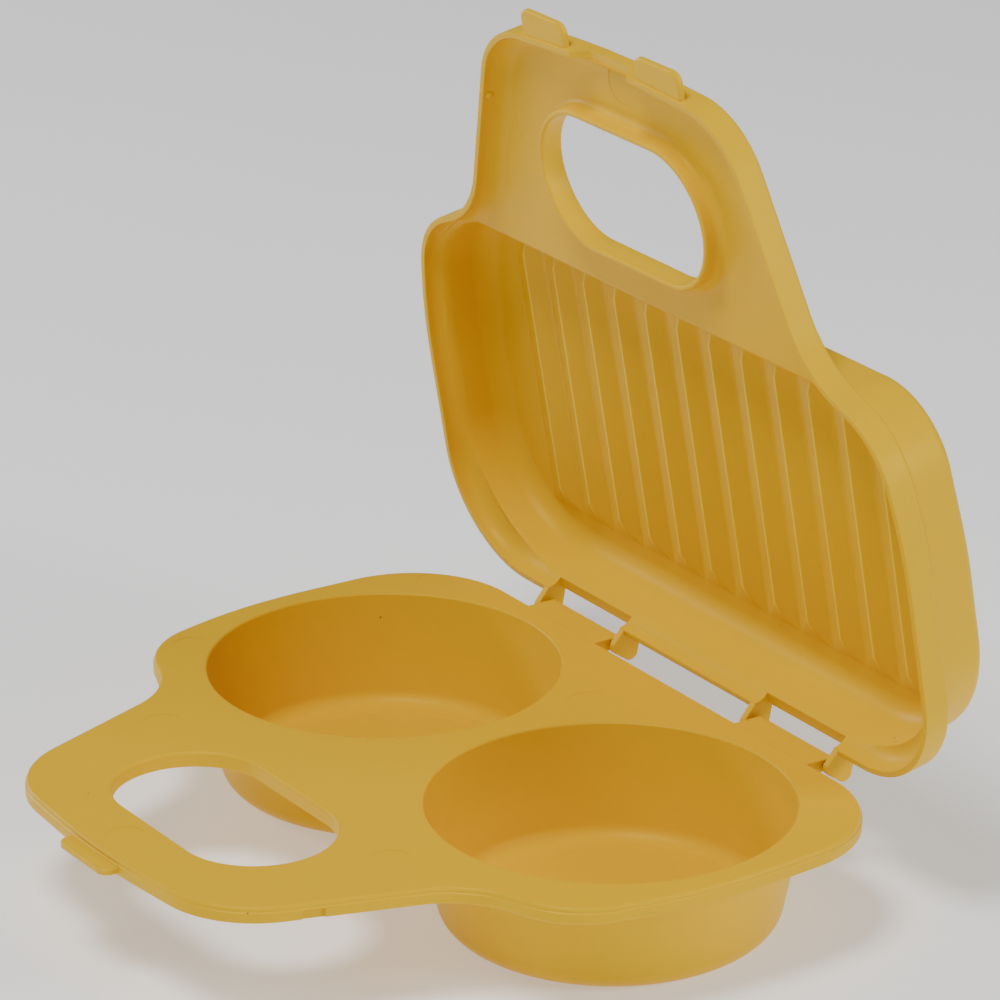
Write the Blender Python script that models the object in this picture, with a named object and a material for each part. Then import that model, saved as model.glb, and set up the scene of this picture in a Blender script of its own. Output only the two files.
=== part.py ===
"""Two-cup egg cooker: a shallow tray with two round cups, and a ribbed lid on a snap hinge.

Both pieces are drawn closed, in the tray's own axes: X runs along the hinge, Y runs from the
handle at the front to the hinge at the back, and Z = 0 is the top of the tray's flange. The
lid is then turned open about its hinge. The model stands on the bottoms of its two cups.
"""
import math

import bmesh
import bpy
from mathutils import Matrix, Vector

MM = 0.001

# ---- Driving dimensions ----------------------------------------------------------------
CUP_PITCH = 100.0 * MM          # between the two cup centres
CUP_MOUTH_RADIUS = 45.5 * MM    # inside the wall, just below the rounded mouth
TRAY_HEIGHT = 31.3 * MM         # flange top above the surface that the cups stand on
HALF_WIDTH = 102.6 * MM         # widest half width of tray and lid
WALL = 1.7 * MM                 # flange, skirts and handle webs
THICK_WALL = 2.3 * MM           # cups and the lid's raised panel
LID_DEPTH = 20.6 * MM           # outside of the lid's panel above its rim
OPEN_ANGLE = math.radians(80.0) # how far the lid stands open
HINGE_Y = 58.0 * MM             # hinge axis behind the line through the cup centres
HINGE_Z = -1.9 * MM             # hinge axis below the flange top
CLEARANCE = 0.3 * MM            # between the closed lid's rim and the flange
CUP_LINE_Y = 20.67 * MM         # puts the origin under the middle of the open cooker

ARC_STEP = math.radians(11.0)
CUTTER_REACH = 2.0 * MM         # how far a cutter runs past the face it opens
YELLOW = (0.93, 0.55, 0.05, 1.0)

# Outline corners of one half, front to back: (x, y, corner radius)
TRAY_CORNERS = (
    (0.0 * MM, -116.9 * MM, 200.0 * MM),
    (48.3 * MM, -112.9 * MM, 27.0 * MM),
    (68.4 * MM, -54.5 * MM, 24.8 * MM),
    (95.5 * MM, -43.9 * MM, 24.0 * MM),
    (HALF_WIDTH, -13.3 * MM, 120.0 * MM),
    (HALF_WIDTH, 6.0 * MM, 100.0 * MM),
    (99.8 * MM, 52.7 * MM, 30.0 * MM),
)
LID_CORNERS = (
    (0.0 * MM, -115.6 * MM, 300.0 * MM),
    (49.0 * MM, -112.7 * MM, 22.5 * MM),
    (70.1 * MM, -54.3 * MM, 27.0 * MM),
    (96.9 * MM, -43.1 * MM, 24.0 * MM),
    (HALF_WIDTH, -14.5 * MM, 120.0 * MM),
    (HALF_WIDTH, 55.3 * MM, 30.0 * MM),
)
# Inner wall of the lid's ribbed compartment
DOME_CORNERS = (
    (0.0 * MM, -46.2 * MM, 0.0 * MM),
    (93.3 * MM, -46.2 * MM, 22.0 * MM),
    (98.6 * MM, -8.0 * MM, 100.0 * MM),
    (98.6 * MM, 51.3 * MM, 34.0 * MM),
)
# Foot of its outer wall, which leans in by PANEL_DRAFT
PANEL_CORNERS = (
    (0.0 * MM, -48.8 * MM, 0.0 * MM),
    (96.0 * MM, -48.8 * MM, 23.0 * MM),
    (102.1 * MM, -8.0 * MM, 100.0 * MM),
    (102.1 * MM, 52.8 * MM, 37.0 * MM),
)

# Tray details
SKIRT_DEPTH = 4.1 * MM
TRAY_BACK_Y = TRAY_CORNERS[-1][1]
HAND_HOLE_Y = -79.5 * MM
HAND_HOLE_RADIUS = 19.5 * MM
HAND_HOLE_HALF_LENGTH = 34.5 * MM
CUP_TAPER = 0.199
CUP_SEGMENTS = 44
CUP_CORNER_RADIUS = 6.7 * MM    # outside; the inner floor corner is one wall less
CUP_LIP = 0.7 * MM              # rounding of the mouth
FLOOR_PAD_RADIUS = 32.5 * MM
FLOOR_PAD_RISE = 0.3 * MM
RECESS_FRONT_Y = -92.3 * MM
RECESS_BACK_Y = -87.0 * MM
RECESS_DEPTH = 0.7 * MM
TRAY_TAB = (11.0 * MM, -120.2 * MM, -3.6 * MM, -1.6 * MM)   # half width, tip y, z low, z high
TAB_CORNER_RADIUS = 2.5 * MM
TAB_ROOT = 2.6 * MM             # how far a tab runs into its skirt
PARTING_Z = -1.2 * MM           # fine step that runs round the skirt
PARTING_STEP = 0.35 * MM
EDGE_ROUND = 0.9 * MM           # rounded top edges of the flange, the web and their holes

# Lid details, heights above the lid's rim
LID_SKIRT_HEIGHT = 7.5 * MM
LID_HOLE_Y = -77.9 * MM
LID_HOLE_RADIUS = 17.7 * MM
LID_HOLE_HALF_LENGTH = 33.3 * MM
COLLAR_WALL = 1.5 * MM
COLLAR_START = 0.9 * MM
PANEL_DRAFT = 1.0 * MM
PANEL_EDGE_RADIUS = 3.0 * MM    # outside, where the panel turns into its wall
COMPARTMENT_DRAFT = 0.45 * MM
COMPARTMENT_RADIUS = 6.0 * MM   # inside, where the wall turns into the floor
RIB_COUNT = 12
RIB_PITCH = 13.46 * MM
RIB_RISE = 2.3 * MM
RIB_CREST_FRONT_Y = -33.9 * MM
RIB_CREST_BACK_Y = 34.8 * MM
RIB_HIP = 6.6 * MM
LID_TAB_INNER_X = 14.6 * MM
LID_TAB_OUTER_X = 32.8 * MM
LID_TAB_TIP_Y = -120.8 * MM
LID_TAB_LOW = 0.6 * MM
TAB_THICKNESS = 2.0 * MM
NOTCH_HALF_WIDTH = 12.0 * MM
NOTCH_HEIGHT = 3.6 * MM
RIB_BACKING = 0.8 * MM          # ribs sink this far into the panel
RIB_LIFT = 0.05 * MM            # valleys lie this far inside the panel's floor

# Hinge details
EAR_INNER_FACES = (29.2 * MM, 61.3 * MM)
EAR_THICKNESS = 2.0 * MM
TONGUE_END_GAP = 1.05 * MM
TONGUE_RADIUS = 1.7 * MM
TONGUE_OVERHANG = 1.6 * MM      # the tongue's rounded back end lies this far behind the axis
NUB_RADIUS = 0.8 * MM
NUB_LENGTH = 2.0 * MM
SOCKET_RADIUS = 1.12 * MM
SOCKET_DEPTH = 1.4 * MM
CUTAWAY_HEIGHT = 4.3 * MM       # lid's rim is cut back between a pair of ears
EAR_ROOT_HEIGHT = 5.6 * MM
EAR_ROOT_DEPTH = 1.5 * MM
EAR_TIP_RADIUS = 1.9 * MM       # round the hinge axis
EAR_HEEL = (2.7 * MM, 3.3 * MM, 2.3 * MM)   # behind the axis, above it, radius


# ---- Outlines --------------------------------------------------------------------------
def full_outline(half):
    """Mirror a half outline to the left: a counter-clockwise ring of corners."""
    mirrored = [(-x, y, r) for x, y, r in reversed(half) if x > 0.0]
    return list(half) + mirrored


def inset_corners(corners, inset):
    """Move every side of the outline inwards, keeping its rounded corners concentric."""
    count = len(corners)
    moved = []
    for i in range(count):
        before = Vector(corners[i - 1][:2])
        here = Vector(corners[i][:2])
        after = Vector(corners[(i + 1) % count][:2])
        side_in = (here - before).normalized()
        side_out = (after - here).normalized()
        normal_in = Vector((-side_in.y, side_in.x))
        normal_out = Vector((-side_out.y, side_out.x))
        along = (normal_in + normal_out) / (1.0 + normal_in.dot(normal_out))
        convex = side_in.cross(side_out) > 0.0
        radius = corners[i][2]
        if radius > 0.0:
            radius = radius - inset if convex else radius + inset
        point = here + along * inset
        moved.append((point.x, point.y, radius))
    return moved


def rounded_ring(corners, step=ARC_STEP):
    """Points round the outline, with an arc at every corner that has a radius."""
    count = len(corners)
    points = []
    for i in range(count):
        before = Vector(corners[i - 1][:2])
        here = Vector(corners[i][:2])
        after = Vector(corners[(i + 1) % count][:2])
        radius = corners[i][2]
        side_in = (here - before).normalized()
        side_out = (after - here).normalized()
        turn = math.atan2(side_in.cross(side_out), side_in.dot(side_out))
        if radius <= 0.0 or abs(turn) < 1e-6:
            points.append(here)
            continue
        side = math.copysign(1.0, turn)
        start = here - side_in * radius * math.tan(abs(turn) / 2.0)
        centre = start + Vector((-side_in.y, side_in.x)) * side * radius
        pieces = max(2, math.ceil(abs(turn) / step))
        for k in range(pieces + 1):
            spoke = Matrix.Rotation(turn * k / pieces, 2) @ (start - centre)
            points.append(centre + spoke)
    return points


def stadium_ring(centre_y, half_length, radius, pieces=12):
    """Counter-clockwise slot outline with semicircular ends, long side along X."""
    reach = half_length - radius
    points = []
    for end in (1.0, -1.0):
        for k in range(pieces + 1):
            angle = math.pi * (k / pieces - 0.5)
            x = end * (reach + radius * math.cos(angle))
            y = centre_y + end * radius * math.sin(angle)
            points.append(Vector((x, y)))
    return points


def quarter_arc(inset, height, radius, pieces):
    """Profile of a rounded top edge: (inset, height) pairs from the wall to the flat."""
    steps = [math.radians(90.0) * k / pieces for k in range(pieces + 1)]
    return [(inset + radius * (1.0 - math.cos(a)), height + radius * math.sin(a)) for a in steps]


# ---- Solids ----------------------------------------------------------------------------
def new_object(name, bm):
    bmesh.ops.recalc_face_normals(bm, faces=bm.faces)
    mesh = bpy.data.meshes.new(name)
    bm.to_mesh(mesh)
    bm.free()
    obj = bpy.data.objects.new(name, mesh)
    bpy.context.scene.collection.objects.link(obj)
    return obj


def loft(rings, name="piece"):
    """Closed solid through rings of equal point count, with flat ends."""
    bm = bmesh.new()
    loops = [[bm.verts.new(p) for p in ring] for ring in rings]
    count = len(loops[0])
    for low, high in zip(loops, loops[1:]):
        for i in range(count):
            j = (i + 1) % count
            bm.faces.new((low[i], low[j], high[j], high[i]))
    bm.faces.new(list(reversed(loops[0])))
    bm.faces.new(loops[-1])
    return new_object(name, bm)


def raise_ring(ring, z):
    return [Vector((p.x, p.y, z)) for p in ring]


def outline_solid(half_corners, profile, name="piece"):
    """Solid whose section at each height is the outline moved in by that height's inset."""
    corners = full_outline(half_corners)
    rings = []
    for inset, z in profile:
        rings.append(raise_ring(rounded_ring(inset_corners(corners, inset)), z))
    return loft(rings, name)


def stadium_solid(centre_y, half_length, radius, profile):
    """Slot-shaped solid; each profile pair is (how much wider all round, height)."""
    rings = []
    for grow, z in profile:
        rings.append(raise_ring(stadium_ring(centre_y, half_length + grow, radius + grow), z))
    return loft(rings)


def turned_solid(centre_x, profile, segments=CUP_SEGMENTS):
    """Solid of revolution about a vertical axis through (centre_x, 0)."""
    rings = []
    for radius, z in profile:
        angles = [2.0 * math.pi * k / segments for k in range(segments)]
        ring = [Vector((centre_x + radius * math.cos(a), radius * math.sin(a), z)) for a in angles]
        rings.append(ring)
    return loft(rings)


def prism_along_x(section, x_low, x_high):
    """Solid with a (y, z) section, run from x_low to x_high."""
    rings = [[Vector((x, y, z)) for y, z in section] for x in (x_low, x_high)]
    return loft(rings)


def block(low, high):
    ring = [(low[0], low[1]), (high[0], low[1]), (high[0], high[1]), (low[0], high[1])]
    return loft([[Vector((x, y, z)) for x, y in ring] for z in (low[2], high[2])])


def combine(target, other, operation):
    """Exact Boolean of target with other, applied; other is used up."""
    modifier = target.modifiers.new("combine", "BOOLEAN")
    modifier.object = other
    modifier.operation = operation
    modifier.solver = "EXACT"
    graph = bpy.context.evaluated_depsgraph_get()
    graph.update()
    result = bpy.data.meshes.new_from_object(target.evaluated_get(graph))
    target.modifiers.clear()
    target.data = result
    bpy.data.objects.remove(other)


def join(target, other):
    combine(target, other, "UNION")


def cut(target, other):
    combine(target, other, "DIFFERENCE")


def tab_solid(x_low, x_high, tip_y, root_y, z_low, z_high):
    """Flat finger tab pointing forwards, with two rounded outer corners."""
    corners = (
        (x_low, tip_y, TAB_CORNER_RADIUS),
        (x_high, tip_y, TAB_CORNER_RADIUS),
        (x_high, root_y, 0.0),
        (x_low, root_y, 0.0),
    )
    ring = rounded_ring(corners, math.radians(30.0))
    return loft([raise_ring(ring, z_low), raise_ring(ring, z_high)])


def hull_section(circles, pieces=8):
    """Convex (y, z) outline round the given (y, z, radius) circles, counter-clockwise."""
    points = []
    for y, z, radius in circles:
        for k in range(4 * pieces):
            angle = 2.0 * math.pi * k / (4 * pieces)
            points.append((y + radius * math.cos(angle), z + radius * math.sin(angle)))
            if radius == 0.0:
                break
    points = sorted(set(points))

    def chain(ordered):
        kept = []
        for p in ordered:
            while len(kept) > 1 and turn_of(kept[-2], kept[-1], p) <= 1e-12:
                kept.pop()
            kept.append(p)
        return kept[:-1]

    return chain(points) + chain(reversed(points))


def turn_of(a, b, c):
    return (b[0] - a[0]) * (c[1] - a[1]) - (b[1] - a[1]) * (c[0] - a[0])


def round_pin(x_low, x_high, radius, segments=12):
    """Round pin on the hinge axis."""
    section = []
    for k in range(segments):
        angle = 2.0 * math.pi * (k + 0.5) / segments
        section.append((HINGE_Y + radius * math.cos(angle), HINGE_Z + radius * math.sin(angle)))
    return prism_along_x(section, x_low, x_high)


# ---- Tray ------------------------------------------------------------------------------
def cup_corner(wall_foot, bottom, radius, pieces):
    """Arc from the cup's flat bottom to its leaning wall, whose foot would be at wall_foot."""
    centre = wall_foot + radius * (CUP_TAPER - math.hypot(1.0, CUP_TAPER))
    sweep = math.radians(90.0) - math.atan(CUP_TAPER)
    angles = [sweep * k / pieces for k in range(pieces + 1)]
    return [(centre + radius * math.sin(a), bottom + radius * (1.0 - math.cos(a))) for a in angles]


def cup_outer_profile():
    bottom = -TRAY_HEIGHT
    top = -WALL / 2.0
    mouth = CUP_MOUTH_RADIUS + THICK_WALL
    profile = cup_corner(mouth + CUP_TAPER * bottom, bottom, CUP_CORNER_RADIUS, 5)
    return profile + [(mouth + CUP_TAPER * top, top)]


def cup_inner_profile():
    floor = -TRAY_HEIGHT + THICK_WALL
    pad = [(FLOOR_PAD_RADIUS - FLOOR_PAD_RISE, floor + FLOOR_PAD_RISE), (FLOOR_PAD_RADIUS, floor)]
    corner = cup_corner(CUP_MOUTH_RADIUS + CUP_TAPER * floor, floor, CUP_CORNER_RADIUS - THICK_WALL, 4)
    lip = []
    for angle in (math.radians(0.0), math.radians(45.0), math.radians(90.0)):
        radius = CUP_MOUTH_RADIUS + CUP_LIP * (1.0 - math.cos(angle))
        lip.append((radius, CUP_LIP * (math.sin(angle) - 1.0)))
    above = [(CUP_MOUTH_RADIUS + CUP_LIP, CUTTER_REACH)]
    return pad + corner + lip + above


def tongue_section():
    """Hinge tongue from inside the back skirt to its rounded end behind the axis."""
    back = HINGE_Y + TONGUE_OVERHANG
    section = [(TRAY_BACK_Y - WALL, HINGE_Z - TONGUE_RADIUS)]
    for k in range(9):
        angle = math.radians(-90.0 + 180.0 * k / 8)
        section.append((back + TONGUE_RADIUS * math.cos(angle), HINGE_Z + TONGUE_RADIUS * math.sin(angle)))
    section.append((TRAY_BACK_Y - WALL, HINGE_Z + TONGUE_RADIUS))
    return section


def skirt_recess(side):
    """Cutter for the shallow rectangle in the outer face of the handle's skirt."""
    front, neck = TRAY_CORNERS[1], TRAY_CORNERS[2]
    slope = (neck[0] - front[0]) / (neck[1] - front[1])
    front_x = front[0] + slope * (RECESS_FRONT_Y - front[1])
    back_x = front[0] + slope * (RECESS_BACK_Y - front[1])
    ring = [
        (side * (front_x - RECESS_DEPTH), RECESS_FRONT_Y),
        (side * (front_x + CUTTER_REACH), RECESS_FRONT_Y),
        (side * (back_x + CUTTER_REACH), RECESS_BACK_Y),
        (side * (back_x - RECESS_DEPTH), RECESS_BACK_Y),
    ]
    heights = (-SKIRT_DEPTH - CUTTER_REACH, -WALL)
    return loft([[Vector((x, y, z)) for x, y in ring] for z in heights])


def build_tray():
    flange_profile = [(0.0, -SKIRT_DEPTH), (0.0, PARTING_Z), (PARTING_STEP, PARTING_Z)]
    flange_profile += quarter_arc(PARTING_STEP, -EDGE_ROUND, EDGE_ROUND, 3)
    tray = outline_solid(TRAY_CORNERS, flange_profile, "base_tray")
    underside = [(WALL, -SKIRT_DEPTH - CUTTER_REACH), (WALL, -WALL)]
    cut(tray, outline_solid(TRAY_CORNERS, underside))

    collar = [(WALL, -SKIRT_DEPTH), (WALL, -WALL / 2.0)]
    join(tray, stadium_solid(HAND_HOLE_Y, HAND_HOLE_HALF_LENGTH, HAND_HOLE_RADIUS, collar))
    for side in (-1.0, 1.0):
        join(tray, turned_solid(side * CUP_PITCH / 2.0, cup_outer_profile()))

    half_width, tip_y, low, high = TRAY_TAB
    join(tray, tab_solid(-half_width, half_width, tip_y, TRAY_CORNERS[0][1] + TAB_ROOT, low, high))

    hole = [(0.0, -SKIRT_DEPTH - CUTTER_REACH)]
    hole += quarter_arc(0.0, -EDGE_ROUND, EDGE_ROUND, 3)
    hole.append((EDGE_ROUND, CUTTER_REACH))
    cut(tray, stadium_solid(HAND_HOLE_Y, HAND_HOLE_HALF_LENGTH, HAND_HOLE_RADIUS, hole))
    for side in (-1.0, 1.0):
        cut(tray, turned_solid(side * CUP_PITCH / 2.0, cup_inner_profile()))
        cut(tray, skirt_recess(side))

    inner = EAR_INNER_FACES[0] + TONGUE_END_GAP
    outer = EAR_INNER_FACES[1] - TONGUE_END_GAP
    for side in (-1.0, 1.0):
        low, high = sorted((side * inner, side * outer))
        join(tray, prism_along_x(tongue_section(), low, high))
        cut(tray, round_pin(low - CUTTER_REACH, low + SOCKET_DEPTH, SOCKET_RADIUS))
        cut(tray, round_pin(high - SOCKET_DEPTH, high + CUTTER_REACH, SOCKET_RADIUS))
    return tray


# ---- Lid -------------------------------------------------------------------------------
def above_rim(profile):
    """Lift a profile whose heights count from the lid's rim to the closed lid's place."""
    return [(inset, height + CLEARANCE) for inset, height in profile]


def panel_profile():
    """Outer wall of the raised panel, from inside the web to the flat top."""
    shoulder = LID_DEPTH - PANEL_EDGE_RADIUS
    profile = [(0.0, LID_SKIRT_HEIGHT - WALL / 2.0)]
    return profile + quarter_arc(PANEL_DRAFT, shoulder, PANEL_EDGE_RADIUS, 4)


def compartment_profile():
    """Inner wall of the ribbed compartment: a slight draft, then a large round to the floor."""
    shoulder = LID_DEPTH - THICK_WALL - COMPARTMENT_RADIUS
    profile = [(0.0, LID_SKIRT_HEIGHT - WALL - CUTTER_REACH)]
    return profile + quarter_arc(COMPARTMENT_DRAFT, shoulder, COMPARTMENT_RADIUS, 5)


def rib_field():
    """Zigzag ribs across the panel: crests and valleys with hipped ends."""
    floor = CLEARANCE + LID_DEPTH - THICK_WALL + RIB_LIFT
    top = floor + RIB_BACKING
    rows = (
        RIB_CREST_FRONT_Y - RIB_HIP,
        RIB_CREST_FRONT_Y,
        RIB_CREST_BACK_Y,
        RIB_CREST_BACK_Y + RIB_HIP,
    )
    columns = 2 * RIB_COUNT + 1
    bm = bmesh.new()
    lower = []
    for i in range(columns):
        x = (i - RIB_COUNT) * RIB_PITCH / 2.0
        crest = i % 2 == 1
        heights = (floor, floor - RIB_RISE if crest else floor, floor - RIB_RISE if crest else floor, floor)
        lower.append([bm.verts.new((x, y, z)) for y, z in zip(rows, heights)])
    upper = [[bm.verts.new((column[0].co.x, y, top)) for y in (rows[0], rows[-1])] for column in lower]
    for i in range(columns - 1):
        left, right = lower[i], lower[i + 1]
        for j in (0, 2):
            low_corner = (i % 2 == 0) == (j == 0)
            quad = (left[j], right[j], right[j + 1], left[j + 1])
            shift = 0 if low_corner else 1
            bm.faces.new((quad[shift], quad[shift + 1], quad[shift + 2]))
            bm.faces.new((quad[shift], quad[shift + 2], quad[(shift + 3) % 4]))
        bm.faces.new((left[1], right[1], right[2], left[2]))
        bm.faces.new((left[0], right[0], upper[i + 1][0], upper[i][0]))
        bm.faces.new((right[3], left[3], upper[i][1], upper[i + 1][1]))
        bm.faces.new((upper[i][0], upper[i + 1][0], upper[i + 1][1], upper[i][1]))
    for column, pair in ((lower[0], upper[0]), (lower[-1], upper[-1])):
        bm.faces.new(column + [pair[1], pair[0]])
    return new_object("ribs", bm)


def ear_section():
    """Ear plate seen along X: from the back wall out over the hinge axis to a round end."""
    root_y = LID_CORNERS[-1][1] - EAR_ROOT_DEPTH
    root_top = CLEARANCE + EAR_ROOT_HEIGHT
    behind, above, heel_radius = EAR_HEEL
    circles = (
        (root_y, CLEARANCE, 0.0),
        (root_y, root_top, 0.0),
        (LID_CORNERS[-1][1], root_top, 0.0),
        (HINGE_Y + behind, HINGE_Z + above, heel_radius),
        (HINGE_Y, HINGE_Z, EAR_TIP_RADIUS),
    )
    return hull_section(circles, pieces=4)


def build_lid():
    skirt = [(0.0, 0.0)]
    skirt += quarter_arc(0.0, LID_SKIRT_HEIGHT - EDGE_ROUND, EDGE_ROUND, 3)
    lid = outline_solid(LID_CORNERS, above_rim(skirt), "lid")
    join(lid, outline_solid(PANEL_CORNERS, above_rim(panel_profile())))

    web_underside = LID_SKIRT_HEIGHT - WALL
    cut(lid, outline_solid(LID_CORNERS, above_rim([(WALL, -CUTTER_REACH), (WALL, web_underside)])))
    cut(lid, outline_solid(DOME_CORNERS, above_rim(compartment_profile())))
    join(lid, rib_field())

    collar = above_rim([(COLLAR_WALL, COLLAR_START), (COLLAR_WALL, web_underside + WALL / 2.0)])
    join(lid, stadium_solid(LID_HOLE_Y, LID_HOLE_HALF_LENGTH, LID_HOLE_RADIUS, collar))
    hole = [(0.0, -CUTTER_REACH)]
    hole += quarter_arc(0.0, LID_SKIRT_HEIGHT - EDGE_ROUND, EDGE_ROUND, 3)
    hole.append((EDGE_ROUND, LID_SKIRT_HEIGHT + CUTTER_REACH))
    cut(lid, stadium_solid(LID_HOLE_Y, LID_HOLE_HALF_LENGTH, LID_HOLE_RADIUS, above_rim(hole)))

    front_y = LID_CORNERS[0][1]
    reach = WALL + CUTTER_REACH
    notch = ((NOTCH_HALF_WIDTH + reach, -reach), (NOTCH_HALF_WIDTH - NOTCH_HEIGHT, NOTCH_HEIGHT))
    rings = []
    for half_width, height in notch:
        corners = ((-1, -1), (1, -1), (1, 1), (-1, 1))
        ring = [(sx * half_width, front_y + sy * reach) for sx, sy in corners]
        rings.append([Vector((x, y, CLEARANCE + height)) for x, y in ring])
    cut(lid, loft(rings))

    low = CLEARANCE + LID_TAB_LOW
    for side in (-1.0, 1.0):
        x_low, x_high = sorted((side * LID_TAB_INNER_X, side * LID_TAB_OUTER_X))
        join(lid, tab_solid(x_low, x_high, LID_TAB_TIP_Y, front_y + TAB_ROOT, low, low + TAB_THICKNESS))

    back_y = LID_CORNERS[-1][1]
    for side in (-1.0, 1.0):
        x_low, x_high = sorted((side * EAR_INNER_FACES[0], side * EAR_INNER_FACES[1]))
        low_corner = (x_low, back_y - reach, CLEARANCE - CUTTER_REACH)
        high_corner = (x_high, back_y + CUTTER_REACH, CLEARANCE + CUTAWAY_HEIGHT)
        cut(lid, block(low_corner, high_corner))
        join(lid, prism_along_x(ear_section(), x_low - EAR_THICKNESS, x_low))
        join(lid, prism_along_x(ear_section(), x_high, x_high + EAR_THICKNESS))
        join(lid, round_pin(x_low - EAR_THICKNESS / 2.0, x_low + NUB_LENGTH, NUB_RADIUS))
        join(lid, round_pin(x_high - NUB_LENGTH, x_high + EAR_THICKNESS / 2.0, NUB_RADIUS))

    lid.data.transform(Matrix.Translation((0.0, -HINGE_Y, -HINGE_Z)))
    return lid


# ---- Assembly --------------------------------------------------------------------------
def plastic(name):
    material = bpy.data.materials.new(name)
    material.use_nodes = True
    shader = material.node_tree.nodes["Principled BSDF"]
    shader.inputs["Base Color"].default_value = YELLOW
    shader.inputs["Roughness"].default_value = 0.38
    shader.inputs["Metallic"].default_value = 0.0
    return material


def main():
    for obj in list(bpy.data.objects):
        bpy.data.objects.remove(obj)

    tray = build_tray()
    tray.location = (0.0, CUP_LINE_Y, TRAY_HEIGHT)

    lid = build_lid()
    lid.location = (0.0, CUP_LINE_Y + HINGE_Y, TRAY_HEIGHT + HINGE_Z)
    lid.rotation_euler = (-OPEN_ANGLE, 0.0, 0.0)

    for obj in (tray, lid):
        obj.data.materials.clear()
        obj.data.materials.append(plastic(obj.name + "_plastic"))
        obj.data.shade_smooth()
        obj.data.set_sharp_from_angle(angle=math.radians(35.0))


main()
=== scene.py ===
"""Looks of the two-cup egg cooker: both mouldings with their fine rounds, ribs and marks,
a satin yellow plastic, a pale floor and soft studio light.

The pieces are drawn closed, in the tray's own axes: X along the hinge, Y from the handle to
the hinge, Z = 0 at the top of the tray's flange. The lid is then turned open on its hinge.
"""

import math

import bmesh
import bpy
from mathutils import Matrix, Vector

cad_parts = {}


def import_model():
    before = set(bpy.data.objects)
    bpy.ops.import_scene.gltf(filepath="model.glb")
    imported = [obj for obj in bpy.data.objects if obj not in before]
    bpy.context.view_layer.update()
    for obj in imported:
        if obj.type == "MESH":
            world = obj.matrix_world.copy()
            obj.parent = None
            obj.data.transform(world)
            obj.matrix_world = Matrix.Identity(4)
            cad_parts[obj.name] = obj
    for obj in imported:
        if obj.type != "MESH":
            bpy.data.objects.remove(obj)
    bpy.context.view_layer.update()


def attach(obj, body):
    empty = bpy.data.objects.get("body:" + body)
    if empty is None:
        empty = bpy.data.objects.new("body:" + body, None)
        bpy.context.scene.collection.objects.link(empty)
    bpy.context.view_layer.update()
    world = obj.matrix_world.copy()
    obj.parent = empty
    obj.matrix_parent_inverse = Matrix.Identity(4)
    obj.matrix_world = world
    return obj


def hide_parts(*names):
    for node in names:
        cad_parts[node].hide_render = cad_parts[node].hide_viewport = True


MM = 0.001

# ---- The same driving dimensions as the CAD part -----------------------------------------
CUP_PITCH = 100.0 * MM
CUP_MOUTH_RADIUS = 45.5 * MM
TRAY_HEIGHT = 31.3 * MM
HALF_WIDTH = 102.6 * MM
WALL = 1.7 * MM
THICK_WALL = 2.3 * MM
LID_DEPTH = 20.6 * MM
OPEN_ANGLE = math.radians(80.0)
HINGE_Y = 58.0 * MM
HINGE_Z = -1.9 * MM
CLEARANCE = 0.3 * MM
CUP_LINE_Y = 20.67 * MM

ARC_STEP = math.radians(3.0)
CUP_SEGMENTS = 160
REACH = 2.0 * MM                # how far a cutter runs past the face it opens

TRAY_CORNERS = (
    (0.0 * MM, -116.9 * MM, 200.0 * MM),
    (48.3 * MM, -112.9 * MM, 27.0 * MM),
    (68.4 * MM, -54.5 * MM, 24.8 * MM),
    (95.5 * MM, -43.9 * MM, 24.0 * MM),
    (HALF_WIDTH, -13.3 * MM, 120.0 * MM),
    (HALF_WIDTH, 6.0 * MM, 100.0 * MM),
    (99.8 * MM, 52.7 * MM, 30.0 * MM),
)
LID_CORNERS = (
    (0.0 * MM, -115.6 * MM, 300.0 * MM),
    (49.0 * MM, -112.7 * MM, 22.5 * MM),
    (70.1 * MM, -54.3 * MM, 27.0 * MM),
    (96.9 * MM, -43.1 * MM, 24.0 * MM),
    (HALF_WIDTH, -14.5 * MM, 120.0 * MM),
    (HALF_WIDTH, 55.3 * MM, 30.0 * MM),
)
COMPARTMENT_CORNERS = (
    (0.0 * MM, -46.2 * MM, 0.0 * MM),
    (93.3 * MM, -46.2 * MM, 22.0 * MM),
    (98.6 * MM, -8.0 * MM, 100.0 * MM),
    (98.6 * MM, 51.3 * MM, 34.0 * MM),
)
PANEL_CORNERS = (
    (0.0 * MM, -48.8 * MM, 0.0 * MM),
    (96.0 * MM, -48.8 * MM, 23.0 * MM),
    (102.1 * MM, -8.0 * MM, 100.0 * MM),
    (102.1 * MM, 52.8 * MM, 37.0 * MM),
)

# Tray
SKIRT_DEPTH = 4.1 * MM
TRAY_BACK_Y = TRAY_CORNERS[-1][1]
PARTING_Z = -1.2 * MM           # fine step that runs round the skirt
PARTING_STEP = 0.3 * MM
TOP_ROUND = 0.9 * MM
HAND_HOLE = (-79.5 * MM, 34.5 * MM, 19.5 * MM)   # centre y, half length, radius
CUP_TAPER = 0.199
CUP_CORNER_RADIUS = 6.7 * MM
CUP_LIP = 0.7 * MM
CUP_ROOT_ROUND = 1.3 * MM
FLOOR_PAD_RADIUS = 32.5 * MM
FLOOR_PAD_RISE = 0.3 * MM
RECESS_FRONT_Y = -92.3 * MM
RECESS_BACK_Y = -87.0 * MM
RECESS_DEPTH = 0.7 * MM
TRAY_TAB = (11.0 * MM, -120.2 * MM, -3.6 * MM, -1.6 * MM)   # half width, tip y, low, high
TAB_CORNER_RADIUS = 3.0 * MM
TAB_BEVEL = ((0.75 * MM, 0.0), (0.25 * MM, 0.22 * MM), (0.0, 0.5 * MM))
TAB_ROOT = 2.6 * MM             # how far a tab reaches into the moulding
PIN_MARK_RADIUS = 5.0 * MM
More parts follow.
